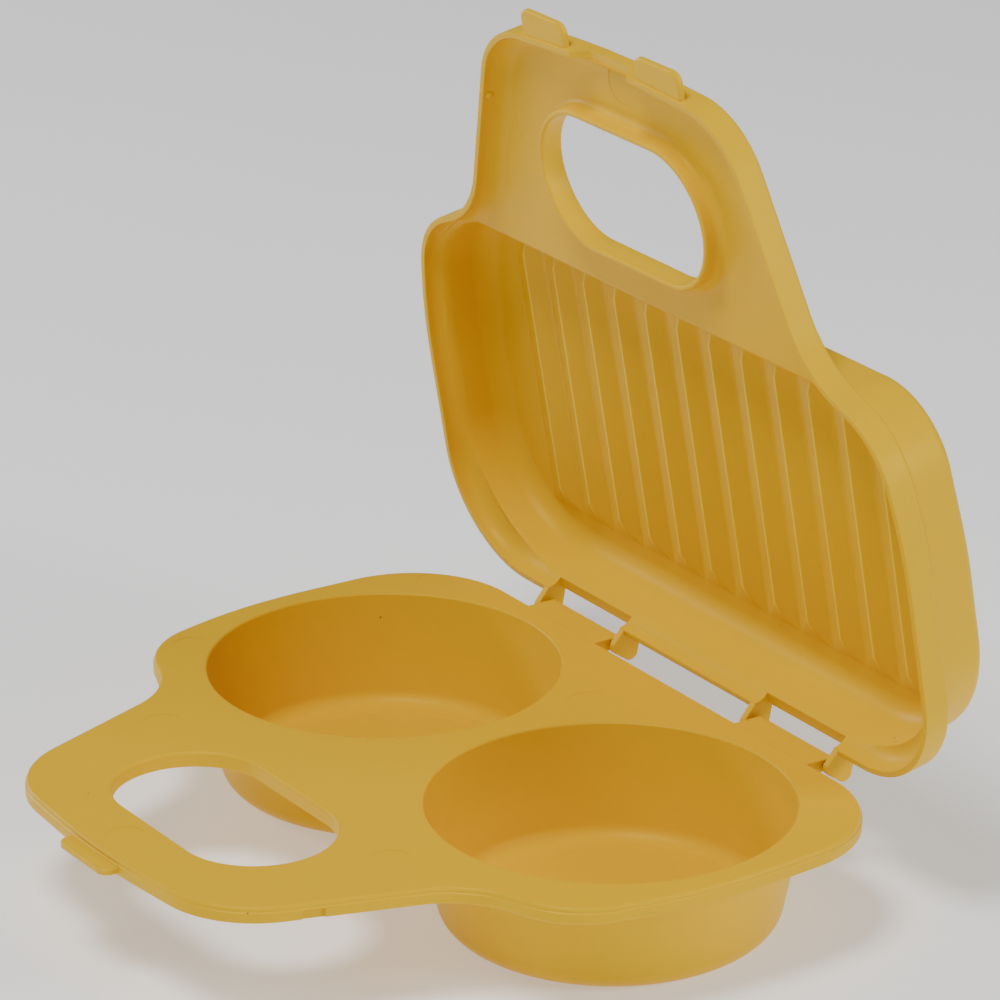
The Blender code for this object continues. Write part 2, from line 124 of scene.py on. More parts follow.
PIN_MARK_DEPTH = 0.08 * MM
TRAY_PIN_MARKS = (
    (-87.6, 41.0), (-88.0, -34.5), (-8.0, -27.5), (-51.0, -66.0),
    (47.0, -62.0), (0.0, -107.2), (-1.5, 29.6),
)

# Lid, heights above its rim
LID_SKIRT_HEIGHT = 7.5 * MM
WEB_UNDERSIDE = LID_SKIRT_HEIGHT - WALL
RIM_ROUND = 0.35 * MM
RIM_CHAMFER = 0.1 * MM          # middle point of the rim's round
SKIRT_TOP_ROUND = 1.2 * MM
CAVITY_ROUND = 5.0 * MM
MOUTH_ROUND = 1.5 * MM          # compartment's mouth at the handle's web
SIDE_MOUTH_ROUND = 7.0 * MM     # and along its sides and back
LID_HOLE = (-77.9 * MM, 33.3 * MM, 17.7 * MM)
COLLAR_WALL = 1.5 * MM
COLLAR_START = 0.9 * MM
COLLAR_ROOT_ROUND = 2.3 * MM
PANEL_DRAFT = 1.0 * MM
PANEL_EDGE_RADIUS = 3.0 * MM
COMPARTMENT_DRAFT = 0.45 * MM
COMPARTMENT_RADIUS = 6.0 * MM
RIB_COUNT = 12
RIB_PITCH = 13.46 * MM
RIB_RISE = 2.3 * MM
RIB_CREST_ROUND = 0.45 * MM
RIB_CREST_FRONT_Y = -33.9 * MM
RIB_CREST_BACK_Y = 34.8 * MM
RIB_HIP = 6.6 * MM
RIB_STAND_OFF = 0.03 * MM       # valleys stay just clear of the floor, so they read as sharp lines
RIB_BACKING = 0.8 * MM
PANEL_FLOOR = CLEARANCE + LID_DEPTH - THICK_WALL
LID_TAB_INNER_X = 14.6 * MM
LID_TAB_OUTER_X = 32.8 * MM
LID_TAB_TIP_Y = -120.8 * MM
LID_TAB_LOW = 0.6 * MM
TAB_THICKNESS = 2.0 * MM
NOTCH_HALF_WIDTH = 12.0 * MM
NOTCH_HEIGHT = 3.6 * MM
NOTCH_REACH = 3.0 * MM          # cutter depth to each side of the front wall
LID_PIN_MARKS = ((-45.6, -82.6), (0.0, -107.0))
BUMP_Y = -90.7 * MM
BUMP_HEIGHT = 2.0 * MM
BUMP_RADIUS = 1.1 * MM
BUMP_WALL_SLOPE = 0.361         # how fast the handle's side wall widens towards the hinge

FLOOR_GAP = 0.1 * MM            # keeps the cups' bottoms and the floor from sharing a plane

# Hinge
EAR_INNER_FACES = (29.2 * MM, 61.3 * MM)
EAR_THICKNESS = 2.0 * MM
EAR_ROOT_HEIGHT = 5.6 * MM
EAR_ROOT_DEPTH = 1.5 * MM
EAR_HEEL = (2.7 * MM, 3.3 * MM, 2.3 * MM)        # behind the pivot, above it, radius
EAR_TIP_RADIUS = 1.9 * MM
EAR_EDGE = 0.3 * MM
PIN_OVERLAP = 1.0 * MM          # how far nubs and socket cutters run past their faces
TONGUE_END_GAP = 1.05 * MM
TONGUE_RADIUS = 1.7 * MM
TONGUE_OVERHANG = 1.6 * MM
NUB_RADIUS = 0.8 * MM
NUB_LENGTH = 2.0 * MM
NUB_EDGE = 0.25 * MM
SOCKET_RADIUS = 1.12 * MM
SOCKET_DEPTH = 1.4 * MM
CUTAWAY_HEIGHT = 4.3 * MM
CUTAWAY_REACH = 1.3 * MM        # how far the rim's cutter clears the wall's two faces


# ---- Outlines ----------------------------------------------------------------------------
def full_outline(half):
    mirrored = [(-x, y, r) for x, y, r in reversed(half) if x > 0.0]
    return list(half) + mirrored


def inset_corners(corners, inset):
    """Move every side of the outline inwards, keeping its rounded corners concentric."""
    count = len(corners)
    moved = []
    for i in range(count):
        before = Vector(corners[i - 1][:2])
        here = Vector(corners[i][:2])
        after = Vector(corners[(i + 1) % count][:2])
        side_in = (here - before).normalized()
        side_out = (after - here).normalized()
        normal_in = Vector((-side_in.y, side_in.x))
        normal_out = Vector((-side_out.y, side_out.x))
        along = (normal_in + normal_out) / (1.0 + normal_in.dot(normal_out))
        convex = side_in.cross(side_out) > 0.0
        radius = corners[i][2]
        if radius > 0.0:
            radius = radius - inset if convex else radius + inset
        point = here + along * inset
        moved.append((point.x, point.y, radius))
    return moved


def rounded_ring(corners, step=ARC_STEP):
    """Points round the outline, with an arc at every corner that has a radius."""
    count = len(corners)
    points = []
    for i in range(count):
        before = Vector(corners[i - 1][:2])
        here = Vector(corners[i][:2])
        after = Vector(corners[(i + 1) % count][:2])
        radius = corners[i][2]
        side_in = (here - before).normalized()
        side_out = (after - here).normalized()
        turn = math.atan2(side_in.cross(side_out), side_in.dot(side_out))
        if radius <= 0.0 or abs(turn) < 1e-6:
            points.append(here)
            continue
        side = math.copysign(1.0, turn)
        start = here - side_in * radius * math.tan(abs(turn) / 2.0)
        centre = start + Vector((-side_in.y, side_in.x)) * side * radius
        pieces = max(2, math.ceil(abs(turn) / step))
        for k in range(pieces + 1):
            spoke = Matrix.Rotation(turn * k / pieces, 2) @ (start - centre)
            points.append(centre + spoke)
    return points


def stadium_ring(centre_y, half_length, radius, pieces=40):
    reach = half_length - radius
    points = []
    for end in (1.0, -1.0):
        for k in range(pieces + 1):
            angle = math.pi * (k / pieces - 0.5)
            x = end * (reach + radius * math.cos(angle))
            y = centre_y + end * radius * math.sin(angle)
            points.append(Vector((x, y)))
    return points


def quarter_arc(inset, height, radius, pieces):
    """A rounded top edge: (inset, height) pairs from the wall to the flat."""
    steps = [math.radians(90.0) * k / pieces for k in range(pieces + 1)]
    return [(inset + radius * (1.0 - math.cos(a)), height + radius * math.sin(a)) for a in steps]


# ---- Solids ------------------------------------------------------------------------------
def new_object(name, bm):
    bmesh.ops.recalc_face_normals(bm, faces=bm.faces)
    mesh = bpy.data.meshes.new(name)
    bm.to_mesh(mesh)
    bm.free()
    obj = bpy.data.objects.new(name, mesh)
    bpy.context.scene.collection.objects.link(obj)
    return obj


def loft(rings, name="piece"):
    bm = bmesh.new()
    loops = [[bm.verts.new(p) for p in ring] for ring in rings]
    count = len(loops[0])
    for low, high in zip(loops, loops[1:]):
        for i in range(count):
            j = (i + 1) % count
            bm.faces.new((low[i], low[j], high[j], high[i]))
    bm.faces.new(list(reversed(loops[0])))
    bm.faces.new(loops[-1])
    return new_object(name, bm)


def raise_ring(ring, z):
    return [Vector((p.x, p.y, z)) for p in ring]


def outline_solid(half_corners, profile, name="piece"):
    corners = full_outline(half_corners)
    rings = []
    for inset, z in profile:
        rings.append(raise_ring(rounded_ring(inset_corners(corners, inset)), z))
    return loft(rings, name)


def stadium_solid(hole, profile):
    """Slot-shaped solid; each profile pair is (how much wider all round, height)."""
    centre_y, half_length, radius = hole
    rings = []
    for grow, z in profile:
        rings.append(raise_ring(stadium_ring(centre_y, half_length + grow, radius + grow), z))
    return loft(rings)


def turned_solid(centre_x, centre_y, profile, segments=CUP_SEGMENTS):
    rings = []
    for radius, z in profile:
        angles = [2.0 * math.pi * k / segments for k in range(segments)]
        rings.append([
            Vector((centre_x + radius * math.cos(a), centre_y + radius * math.sin(a), z))
            for a in angles
        ])
    return loft(rings)


def prism_along_x(section, x_low, x_high, edge=0.0):
    """Solid with a (y, z) section from x_low to x_high, its end edges rounded by edge."""
    centre = sum((Vector(p) for p in section), Vector((0.0, 0.0))) / len(section)
    stations = [(x_low, 0.0), (x_high, 0.0)]
    if edge > 0.0:
        angles = [math.radians(90.0) * k / 4 for k in range(4, -1, -1)]
        start = [(x_low + edge * (1.0 - math.sin(a)), edge * (1.0 - math.cos(a))) for a in angles]
        stations = start + [(x_low + x_high - x, inset) for x, inset in reversed(start)]
    rings = []
    for x, inset in stations:
        ring = []
        for point in section:
            p = Vector(point)
            p += (centre - p).normalized() * inset
            ring.append(Vector((x, p.x, p.y)))
        rings.append(ring)
    return loft(rings)


def block(low, high):
    ring = [(low[0], low[1]), (high[0], low[1]), (high[0], high[1]), (low[0], high[1])]
    return loft([[Vector((x, y, z)) for x, y in ring] for z in (low[2], high[2])])


def combine(target, other, operation):
    modifier = target.modifiers.new("combine", "BOOLEAN")
    modifier.object = other
    modifier.operation = operation
    modifier.solver = "EXACT"
    graph = bpy.context.evaluated_depsgraph_get()
    graph.update()
    result = bpy.data.meshes.new_from_object(target.evaluated_get(graph))
    target.modifiers.clear()
    target.data = result
    bpy.data.objects.remove(other)


def join(target, other):
    combine(target, other, "UNION")


def cut(target, other):
    combine(target, other, "DIFFERENCE")


def tab_solid(x_low, x_high, tip_y, root_y, z_low, z_high):
    """Flat finger tab with rounded outer corners and a bevelled border on both faces."""
    corners = [
        (x_low, tip_y, TAB_CORNER_RADIUS),
        (x_high, tip_y, TAB_CORNER_RADIUS),
        (x_high, root_y, 0.0),
        (x_low, root_y, 0.0),
    ]
    profile = [(inset, z_low + step) for inset, step in TAB_BEVEL]
    profile += [(inset, z_high - step) for inset, step in reversed(TAB_BEVEL)]
    rings = []
    for inset, z in profile:
        rings.append(raise_ring(rounded_ring(inset_corners(corners, inset), 3.0 * ARC_STEP), z))
    return loft(rings)


def turn_of(a, b, c):
    return (b[0] - a[0]) * (c[1] - a[1]) - (b[1] - a[1]) * (c[0] - a[0])


def hull_section(circles, pieces=10):
    """Convex (y, z) outline round the given (y, z, radius) circles, counter-clockwise."""
    points = []
    for y, z, radius in circles:
        for k in range(4 * pieces):
            angle = 2.0 * math.pi * k / (4 * pieces)
            points.append((y + radius * math.cos(angle), z + radius * math.sin(angle)))
            if radius == 0.0:
                break
    points = sorted(set(points))

    def chain(ordered):
        kept = []
        for p in ordered:
            while len(kept) > 1 and turn_of(kept[-2], kept[-1], p) <= 1e-12:
                kept.pop()
            kept.append(p)
        return kept[:-1]

    return chain(points) + chain(reversed(points))


def round_pin(x_low, x_high, radius, edge=0.0, segments=24):
    """Pin on the hinge's axis."""
    angles = [2.0 * math.pi * (k + 0.5) / segments for k in range(segments)]
    section = [(HINGE_Y + radius * math.cos(a), HINGE_Z + radius * math.sin(a)) for a in angles]
    return prism_along_x(section, x_low, x_high, edge)


def pin_mark(x, y, face_z, into):
    """Shallow round step where an ejector pin met the face."""
    clear = 0.5 * MM
    ends = (face_z - clear, face_z + PIN_MARK_DEPTH)
    if into < 0.0:
        ends = (face_z - PIN_MARK_DEPTH, face_z + clear)
    return turned_solid(x * MM, y * MM, [(PIN_MARK_RADIUS, z) for z in ends], 64)


# ---- Tray --------------------------------------------------------------------------------
def cup_corner(wall_foot, bottom, radius, pieces):
    centre = wall_foot + radius * (CUP_TAPER - math.hypot(1.0, CUP_TAPER))
    sweep = math.radians(90.0) - math.atan(CUP_TAPER)
    angles = [sweep * k / pieces for k in range(pieces + 1)]
    return [(centre + radius * math.sin(a), bottom + radius * (1.0 - math.cos(a))) for a in angles]


def cup_outer_profile():
    bottom = -TRAY_HEIGHT
    mouth = CUP_MOUTH_RADIUS + THICK_WALL
    profile = cup_corner(mouth + CUP_TAPER * bottom, bottom, CUP_CORNER_RADIUS, 14)
    root = -WALL - CUP_ROOT_ROUND
    flare = [(-inset, z) for inset, z in quarter_arc(0.0, root, CUP_ROOT_ROUND, 6)]
    profile += [(mouth + CUP_TAPER * root - inset, z) for inset, z in flare]
    return profile + [(profile[-1][0], -WALL / 2.0)]


def cup_inner_profile():
    floor = -TRAY_HEIGHT + THICK_WALL
    pad = [
        (FLOOR_PAD_RADIUS - 0.7 * MM, floor + FLOOR_PAD_RISE),
        (FLOOR_PAD_RADIUS - 0.55 * MM, floor + 0.12 * MM),
        (FLOOR_PAD_RADIUS, floor + 0.08 * MM),
        (FLOOR_PAD_RADIUS + 0.15 * MM, floor),
    ]
    corner = cup_corner(CUP_MOUTH_RADIUS + CUP_TAPER * floor, floor, CUP_CORNER_RADIUS - THICK_WALL, 14)
    lip = []
    for k in range(9):
        angle = math.radians(90.0) * k / 8
        lip.append((CUP_MOUTH_RADIUS + CUP_LIP * (1.0 - math.cos(angle)), CUP_LIP * (math.sin(angle) - 1.0)))
    return pad + corner + lip + [(CUP_MOUTH_RADIUS + CUP_LIP, REACH)]


def tongue_section():
    back = HINGE_Y + TONGUE_OVERHANG
    section = [(TRAY_BACK_Y - WALL, HINGE_Z - TONGUE_RADIUS)]
    for k in range(21):
        angle = math.radians(-90.0 + 180.0 * k / 20)
        section.append((back + TONGUE_RADIUS * math.cos(angle), HINGE_Z + TONGUE_RADIUS * math.sin(angle)))
    section.append((TRAY_BACK_Y - WALL, HINGE_Z + TONGUE_RADIUS))
    return section


def skirt_recess(side):
    front, neck = TRAY_CORNERS[1], TRAY_CORNERS[2]
    slope = (neck[0] - front[0]) / (neck[1] - front[1])
    near = front[0] + slope * (RECESS_FRONT_Y - front[1])
    far = front[0] + slope * (RECESS_BACK_Y - front[1])
    ring = [
        ((near - RECESS_DEPTH) * side, RECESS_FRONT_Y),
        ((near + REACH) * side, RECESS_FRONT_Y),
        ((far + REACH) * side, RECESS_BACK_Y),
        ((far - RECESS_DEPTH) * side, RECESS_BACK_Y),
    ]
    return loft([[Vector((x, y, z)) for x, y in ring] for z in (-SKIRT_DEPTH - REACH, -WALL)])


def build_tray():
    foot = 0.25 * MM
    profile = [(foot, -SKIRT_DEPTH), (0.0, -SKIRT_DEPTH + foot), (0.0, PARTING_Z - PARTING_STEP)]
    profile.append((PARTING_STEP, PARTING_Z))
    profile += quarter_arc(PARTING_STEP, -TOP_ROUND, TOP_ROUND, 8)
    tray = outline_solid(TRAY_CORNERS, profile, "tray_moulding")

    under = 1.0 * MM
    below = [(WALL - foot, -SKIRT_DEPTH - REACH), (WALL - foot, -SKIRT_DEPTH), (WALL, -SKIRT_DEPTH + foot)]
    cut(tray, outline_solid(TRAY_CORNERS, below + quarter_arc(WALL, -WALL - under, under, 5)))

    collar = [(WALL, -SKIRT_DEPTH)]
    collar += [(WALL + inset, z) for inset, z in quarter_arc(0.0, -WALL - under, under, 5)]
    collar.append((WALL + under, -WALL / 2.0))
    join(tray, stadium_solid(HAND_HOLE, collar))
    for side in (-1.0, 1.0):
        join(tray, turned_solid(side * CUP_PITCH / 2.0, 0.0, cup_outer_profile()))

    half_width, tip_y, low, high = TRAY_TAB
    join(tray, tab_solid(-half_width, half_width, tip_y, TRAY_CORNERS[0][1] + TAB_ROOT, low, high))

    hole = [(foot, -SKIRT_DEPTH - REACH), (foot, -SKIRT_DEPTH), (0.0, -SKIRT_DEPTH + foot)]
    hole += quarter_arc(0.0, -TOP_ROUND, TOP_ROUND, 8)
    hole.append((TOP_ROUND, REACH))
    cut(tray, stadium_solid(HAND_HOLE, hole))
    for side in (-1.0, 1.0):
        cut(tray, turned_solid(side * CUP_PITCH / 2.0, 0.0, cup_inner_profile()))
        cut(tray, skirt_recess(side))
    for x, y in TRAY_PIN_MARKS:
        cut(tray, pin_mark(x, y, 0.0, -1.0))

    inner = EAR_INNER_FACES[0] + TONGUE_END_GAP
    outer = EAR_INNER_FACES[1] - TONGUE_END_GAP
    for side in (-1.0, 1.0):
        low, high = sorted((side * inner, side * outer))
        join(tray, prism_along_x(tongue_section(), low, high, 0.4 * MM))
        cut(tray, round_pin(low - PIN_OVERLAP, low + SOCKET_DEPTH, SOCKET_RADIUS))
        cut(tray, round_pin(high - SOCKET_DEPTH, high + PIN_OVERLAP, SOCKET_RADIUS))
    tray.data.transform(Matrix.Translation((0.0, CUP_LINE_Y, TRAY_HEIGHT)))
    return tray


# ---- Lid ---------------------------------------------------------------------------------
def above_rim(profile):
    return [(inset, height + CLEARANCE) for inset, height in profile]


def smooth_step(value):
    t = max(0.0, min(1.0, value))
    return t * t * (3.0 - 2.0 * t)


def compartment_cutter():
    """Room of the ribbed compartment. Its mouth is rounded more at the handle's web."""
    corners = full_outline(COMPARTMENT_CORNERS)
    base = rounded_ring(corners)
    pieces = 8
    side_gap = LID_CORNERS[-1][0] - COMPARTMENT_CORNERS[-1][0] - WALL
    lean_most = math.acos(1.0 - side_gap / (CAVITY_ROUND + SIDE_MOUTH_ROUND))
    side_top = WEB_UNDERSIDE - CAVITY_ROUND + (CAVITY_ROUND + SIDE_MOUTH_ROUND) * math.sin(lean_most)
    at_web = [(-MOUTH_ROUND, -REACH), (-MOUTH_ROUND, WEB_UNDERSIDE)]
    at_side = [(0.0, -REACH), (
        -SIDE_MOUTH_ROUND * (1.0 - math.cos(1.03 * lean_most)),
        side_top - SIDE_MOUTH_ROUND * math.sin(1.03 * lean_most),
    )]
    for k in range(1, pieces + 1):
        angle = math.radians(90.0) * k / pieces
        at_web.append((
            -MOUTH_ROUND + MOUTH_ROUND * math.sin(angle),
            WEB_UNDERSIDE + MOUTH_ROUND * (1.0 - math.cos(angle)),
        ))
        lean = lean_most * (1.0 - k / pieces)
        at_side.append((
            -SIDE_MOUTH_ROUND * (1.0 - math.cos(lean)),
            side_top - SIDE_MOUTH_ROUND * math.sin(lean),
        ))
    shoulder = LID_DEPTH - THICK_WALL - COMPARTMENT_RADIUS
    wall = quarter_arc(COMPARTMENT_DRAFT, shoulder, COMPARTMENT_RADIUS, 16)
    rings = []
    for (inset_web, z_web), (inset_side, z_side) in zip(at_web, at_side):
        ring = []
        web_ring = rounded_ring(inset_corners(corners, inset_web))
        side_ring = rounded_ring(inset_corners(corners, inset_side))
        for p, at_w, at_s in zip(base, web_ring, side_ring):
            share = smooth_step((-35.0 * MM - p.y) / (11.0 * MM))
            flat = at_w * share + at_s * (1.0 - share)
            height = z_web * share + z_side * (1.0 - share)
            ring.append(Vector((flat.x, flat.y, height + CLEARANCE)))
        rings.append(ring)
    for inset, z in wall:
        rings.append(raise_ring(rounded_ring(inset_corners(corners, inset)), z + CLEARANCE))
    return loft(rings)


def rib_height(offset):
    """Zigzag rise at a distance from the nearest valley, with a rounded crest."""
    half = RIB_PITCH / 2.0
    slope = RIB_RISE / half
    from_crest = half - offset
    if from_crest < RIB_CREST_ROUND:
        return RIB_RISE - slope * (from_crest * from_crest / RIB_CREST_ROUND + RIB_CREST_ROUND) / 2.0
    return RIB_RISE - slope * from_crest


def rib_field():
    floor = PANEL_FLOOR - RIB_STAND_OFF
    top = floor + RIB_BACKING
    per_half = (0.0, 0.25, 0.5, 0.75, 0.933, 0.955, 0.975, 0.99)
    columns = []
    for i in range(RIB_COUNT):
        valley = (i - RIB_COUNT / 2.0) * RIB_PITCH
        for t in per_half:
            columns.append((valley + t * RIB_PITCH / 2.0, t * RIB_PITCH / 2.0))
        for t in (1.0,) + tuple(reversed(per_half[1:])):
            columns.append((valley + (2.0 - t) * RIB_PITCH / 2.0, t * RIB_PITCH / 2.0))
    columns.append((RIB_COUNT / 2.0 * RIB_PITCH, 0.0))
    bm = bmesh.new()
    lower = []
    for x, offset in columns:
        rise = rib_height(offset)
        ramp = RIB_HIP * rise / RIB_RISE
        front = RIB_CREST_FRONT_Y - RIB_HIP
        back = RIB_CREST_BACK_Y + RIB_HIP
        rows = ((front, 0.0), (front + ramp, rise), (back - ramp, rise), (back, 0.0))
        lower.append([bm.verts.new((x, y, floor - h)) for y, h in rows])
    upper = [[bm.verts.new((column[0].co.x, column[k].co.y, top)) for k in (0, 3)] for column in lower]
    for left, right, up_left, up_right in zip(lower, lower[1:], upper, upper[1:]):
        for j in (0, 1, 2):
            quad = [left[j], right[j], right[j + 1], left[j + 1]]
            corners = []
            for v in quad:
                if all((v.co - c.co).length > 1e-7 for c in corners):
                    corners.append(v)
            if len(corners) > 2:
                bm.faces.new(corners)
        bm.faces.new((left[0], right[0], up_right[0], up_left[0]))
        bm.faces.new((right[3], left[3], up_left[1], up_right[1]))
        bm.faces.new((up_left[0], up_right[0], up_right[1], up_left[1]))
    for column, pair in ((lower[0], upper[0]), (lower[-1], upper[-1])):
        bm.faces.new(column + [pair[1], pair[0]])
    bmesh.ops.remove_doubles(bm, verts=bm.verts, dist=1e-7)
    return new_object("ribs", bm)


def paint_crest_highlight(lid):
    """Mask for a painted highlight on the ribs' crests, from 0 to 1: 1 on a crest line, falling to 0 one
    crest round away.
    """
    crest_highlight_mask = lid.data.attributes.new("painted_crest_highlight", "FLOAT", "POINT")
    for i, vertex in enumerate(lid.data.vertices):
        x, y, z = vertex.co
        off_crest = abs((x / RIB_PITCH) % 1.0 - 0.5) * RIB_PITCH
        across = abs(x) < RIB_COUNT / 2.0 * RIB_PITCH
        along = RIB_CREST_FRONT_Y - RIB_HIP / 4.0 < y < RIB_CREST_BACK_Y + RIB_HIP / 4.0
        high = abs(PANEL_FLOOR - RIB_RISE - z) < RIB_RISE / 4.0
        if across and along and high:
            crest_highlight_mask.data[i].value = max(0.0, 1.0 - off_crest / RIB_CREST_ROUND)


def ear_section():
    root_y = LID_CORNERS[-1][1] - WALL + 0.2 * MM
    circles = (
        (root_y, CLEARANCE, 0.0),
        (root_y, CLEARANCE + EAR_ROOT_HEIGHT, 0.0),
        (root_y + EAR_ROOT_DEPTH, CLEARANCE + EAR_ROOT_HEIGHT, 0.0),
        (HINGE_Y + EAR_HEEL[0], HINGE_Z + EAR_HEEL[1], EAR_HEEL[2]),
        (HINGE_Y, HINGE_Z, EAR_TIP_RADIUS),
    )
    return hull_section(circles)


def build_lid():
    skirt = [(RIM_ROUND, 0.0), (RIM_CHAMFER, RIM_CHAMFER), (0.0, RIM_ROUND)]
    skirt += quarter_arc(0.0, LID_SKIRT_HEIGHT - SKIRT_TOP_ROUND, SKIRT_TOP_ROUND, 8)
    lid = outline_solid(LID_CORNERS, above_rim(skirt), "lid_moulding")
    panel = [(0.0, LID_SKIRT_HEIGHT - WALL / 2.0)]
    panel += quarter_arc(PANEL_DRAFT, LID_DEPTH - PANEL_EDGE_RADIUS, PANEL_EDGE_RADIUS, 10)
    join(lid, outline_solid(PANEL_CORNERS, above_rim(panel)))

    cavity = [(WALL - RIM_ROUND, -REACH), (WALL - RIM_ROUND, 0.0)]
    cavity += [(WALL - RIM_CHAMFER, RIM_CHAMFER), (WALL, RIM_ROUND)]
    cavity += quarter_arc(WALL, WEB_UNDERSIDE - CAVITY_ROUND, CAVITY_ROUND, 14)
    cut(lid, outline_solid(LID_CORNERS, above_rim(cavity)))
    cut(lid, compartment_cutter())
    join(lid, rib_field())

    lip = 0.6 * MM
    collar = [(COLLAR_WALL - inset, z) for inset, z in reversed(quarter_arc(0.0, 0.0, lip, 4))]
    collar = [(grow, COLLAR_START + lip - z) for grow, z in collar]
    root = WEB_UNDERSIDE - COLLAR_ROOT_ROUND
    collar += [(COLLAR_WALL + inset, z) for inset, z in quarter_arc(0.0, root, COLLAR_ROOT_ROUND, 10)]
    collar.append((COLLAR_WALL + COLLAR_ROOT_ROUND, WEB_UNDERSIDE + WALL / 2.0))
    join(lid, stadium_solid(LID_HOLE, above_rim(collar)))
    hole = [(lip, -REACH)]
    hole += [(inset, COLLAR_START + lip - z) for inset, z in reversed(quarter_arc(0.0, 0.0, lip, 4))]
    hole += quarter_arc(0.0, LID_SKIRT_HEIGHT - TOP_ROUND, TOP_ROUND, 6)
    hole.append((TOP_ROUND, LID_SKIRT_HEIGHT + REACH))
    cut(lid, stadium_solid(LID_HOLE, above_rim(hole)))

    front_y = LID_CORNERS[0][1]
    below = 1.0 * MM
    notch = ((NOTCH_HALF_WIDTH + below, -below), (NOTCH_HALF_WIDTH - NOTCH_HEIGHT, NOTCH_HEIGHT))
    corners = ((-1, -1), (1, -1), (1, 1), (-1, 1))
    rings = []
    for half_width, height in notch:
        z = CLEARANCE + height
        rings.append([Vector((sx * half_width, front_y + sy * NOTCH_REACH, z)) for sx, sy in corners])
    cut(lid, loft(rings))

    low = CLEARANCE + LID_TAB_LOW
    inner_wall = LID_CORNERS[1][0] + (BUMP_Y - LID_CORNERS[1][1]) * BUMP_WALL_SLOPE - WALL
    bump_z = CLEARANCE + BUMP_HEIGHT
    bump_angles = [math.radians(a) for a in range(-75, 76, 15)]
    bump = [(BUMP_RADIUS * math.cos(a), bump_z + BUMP_RADIUS * math.sin(a)) for a in bump_angles]
    for side in (-1.0, 1.0):
        x_low, x_high = sorted((side * LID_TAB_INNER_X, side * LID_TAB_OUTER_X))
        join(lid, tab_solid(x_low, x_high, LID_TAB_TIP_Y, front_y + TAB_ROOT, low, low + TAB_THICKNESS))
        join(lid, turned_solid(side * inner_wall, BUMP_Y, bump, 24))
    for x, y in LID_PIN_MARKS:
        cut(lid, pin_mark(x, y, CLEARANCE + WEB_UNDERSIDE, 1.0))

    back_y = LID_CORNERS[-1][1]
    for side in (-1.0, 1.0):
        x_low, x_high = sorted((side * EAR_INNER_FACES[0], side * EAR_INNER_FACES[1]))
        low_corner = (x_low, back_y - WALL - CUTAWAY_REACH, CLEARANCE - REACH)
        high_corner = (x_high, back_y + CUTAWAY_REACH, CLEARANCE + CUTAWAY_HEIGHT)
        cut(lid, block(low_corner, high_corner))
        join(lid, prism_along_x(ear_section(), x_low - EAR_THICKNESS, x_low, EAR_EDGE))
        join(lid, prism_along_x(ear_section(), x_high, x_high + EAR_THICKNESS, EAR_EDGE))
        join(lid, round_pin(x_low - PIN_OVERLAP, x_low + NUB_LENGTH, NUB_RADIUS, NUB_EDGE))
        join(lid, round_pin(x_high - NUB_LENGTH, x_high + PIN_OVERLAP, NUB_RADIUS, NUB_EDGE))

    # Mask for the painted highlight along the rib crests, read by the plastic's colour.
    paint_crest_highlight(lid)
    to_hinge = Matrix.Translation((0.0, -HINGE_Y, -HINGE_Z))
    opened = Matrix.Rotation(-OPEN_ANGLE, 4, "X")
    to_place = Matrix.Translation((0.0, CUP_LINE_Y + HINGE_Y, TRAY_HEIGHT + HINGE_Z))
    lid.data.transform(to_place @ opened @ to_hinge)
    return lid


# ---- Materials ---------------------------------------------------------------------------
class Nodes:
    """Adds nodes to a material and links them by name."""

    def __init__(self, material):
        material.use_nodes = True
        self.tree = material.node_tree
        self.shader = self.tree.nodes["Principled BSDF"]

    def add(self, kind, inputs=None, **settings):
        node = self.tree.nodes.new(kind)
        for key, value in settings.items():
            setattr(node, key, value)
        for key, value in (inputs or {}).items():
            if isinstance(value, bpy.types.NodeSocket):
                self.tree.links.new(value, node.inputs[key])
            else:
                node.inputs[key].default_value = value
        return node

    def link(self, output, target):
        self.tree.links.new(output, target)

    def mix(self, factor, first, second):
        """Colour between first and second; each is a socket or a colour."""
        node = self.add("ShaderNodeMix", data_type="RGBA")
        chosen = {"Factor_Float": factor, "A_Color": first, "B_Color": second}
        for socket in node.inputs:
            value = chosen.get(socket.identifier)
            if isinstance(value, bpy.types.NodeSocket):
                self.link(value, socket)
            elif value is not None:
                socket.default_value = value
        return next(out for out in node.outputs if out.identifier == "Result_Color")


